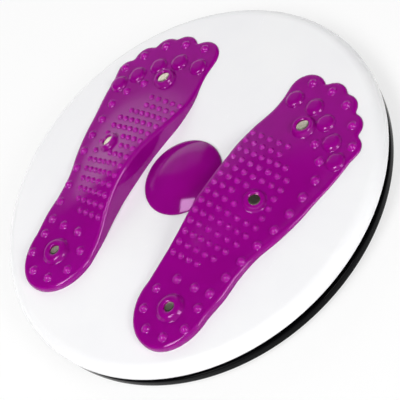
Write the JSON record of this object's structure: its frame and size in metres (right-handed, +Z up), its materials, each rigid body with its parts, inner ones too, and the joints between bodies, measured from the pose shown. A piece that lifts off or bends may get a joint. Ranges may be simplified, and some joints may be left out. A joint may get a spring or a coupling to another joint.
{
  "type": "waist twisting disc",
  "caption": "Round waist twisting disc: a white turntable with raised foot-shaped massage pads turns on a ball race over a low black base tray.",
  "frame": {"origin": "disc axis at the level of the floor under the rubber feet", "axes": "+Z up along the turning axis, +Y towards the toes, +X towards the right foot"},
  "size_m": [0.25, 0.25, 0.0386],
  "materials": {
    "shell_white": "glossy moulded",
    "pad_magenta": "soft satin gloss",
    "cap_magenta": "polished",
    "tray_black": "glossy moulded",
    "foot_rubber": "matt",
    "cage_acetal": "moulded",
    "race_steel": "pressed and oiled",
    "ball_steel": "ground",
    "bolt_zinc": "zinc plated",
    "washer_nylon": "natural nylon",
    "magnet_nickel": "nickel plated"
  },
  "bodies": {
    "base": {"base_tray": "tray_black", "rubber_foot_1": "foot_rubber", "rubber_foot_2": "foot_rubber", "rubber_foot_3": "foot_rubber", "rubber_foot_4": "foot_rubber", "rubber_foot_5": "foot_rubber", "rubber_foot_6": "foot_rubber", "lower_race": "race_steel", "pivot_bolt": "bolt_zinc", "thrust_washer": "washer_nylon", "nut_washer": "bolt_zinc", "pivot_nut": "bolt_zinc"},
    "ball_cage": {"cage_ring": "cage_acetal", "steel_ball_01": "ball_steel", "steel_ball_02": "ball_steel", "steel_ball_03": "ball_steel", "steel_ball_04": "ball_steel", "steel_ball_05": "ball_steel", "steel_ball_06": "ball_steel", "steel_ball_07": "ball_steel", "steel_ball_08": "ball_steel", "steel_ball_09": "ball_steel", "steel_ball_10": "ball_steel"},
    "turntable": {"top_shell": "shell_white", "upper_race": "race_steel", "centre_cap": "cap_magenta", "foot_pad_right": "pad_magenta", "foot_pad_left": "pad_magenta", "magnet_ball_right": "magnet_nickel", "magnet_arch_right": "magnet_nickel", "magnet_heel_right": "magnet_nickel", "magnet_ball_left": "magnet_nickel", "magnet_arch_left": "magnet_nickel", "magnet_heel_left": "magnet_nickel"}
  },
  "joints": [
    {"name": "turntable_spin", "type": "hinge", "parent": "base", "child": "turntable", "pos_m": [0, 0, 0], "axis": [0, 0, 1], "continuous": true},
    {"name": "cage_spin", "type": "hinge", "parent": "base", "child": "ball_cage", "pos_m": [0, 0, 0], "axis": [0, 0, 1], "continuous": true}
  ],
  "couplings": [
    {"joint": "cage_spin", "follows": "turntable_spin", "ratio": 0.5}
  ]
}
